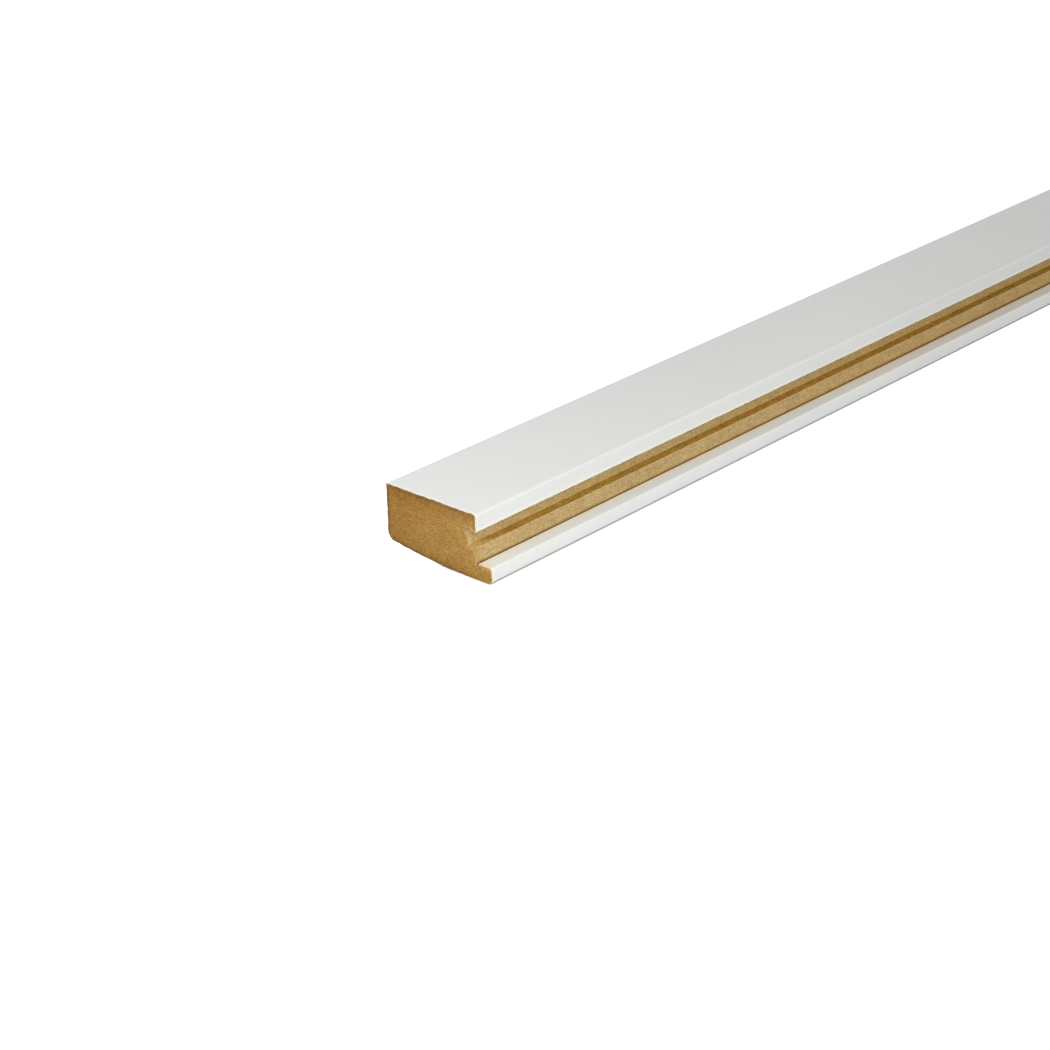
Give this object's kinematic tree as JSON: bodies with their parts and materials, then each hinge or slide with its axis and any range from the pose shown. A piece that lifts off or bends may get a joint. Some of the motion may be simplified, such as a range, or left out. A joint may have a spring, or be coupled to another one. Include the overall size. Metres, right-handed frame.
{
  "type": "picture rail",
  "caption": "Straight picture rail moulding in white-finished fibreboard, with a flat back, a crowned front, and a lip and groove for picture hooks.",
  "frame": {"origin": "under the middle of the rail, level with the highest line of its crowned front", "axes": "+X along the rail, -Y towards the hook side with the lip, +Z out of the flat back, which goes against the wall"},
  "size_m": [2.4, 0.04, 0.0196],
  "materials": {
    "finished_board": "satin white lacquer on medium density fibreboard, bare brown board on the sawn ends, in the groove and on the step"
  },
  "bodies": {
    "root": {"picture_rail": "finished_board"}
  },
  "joints": []
}
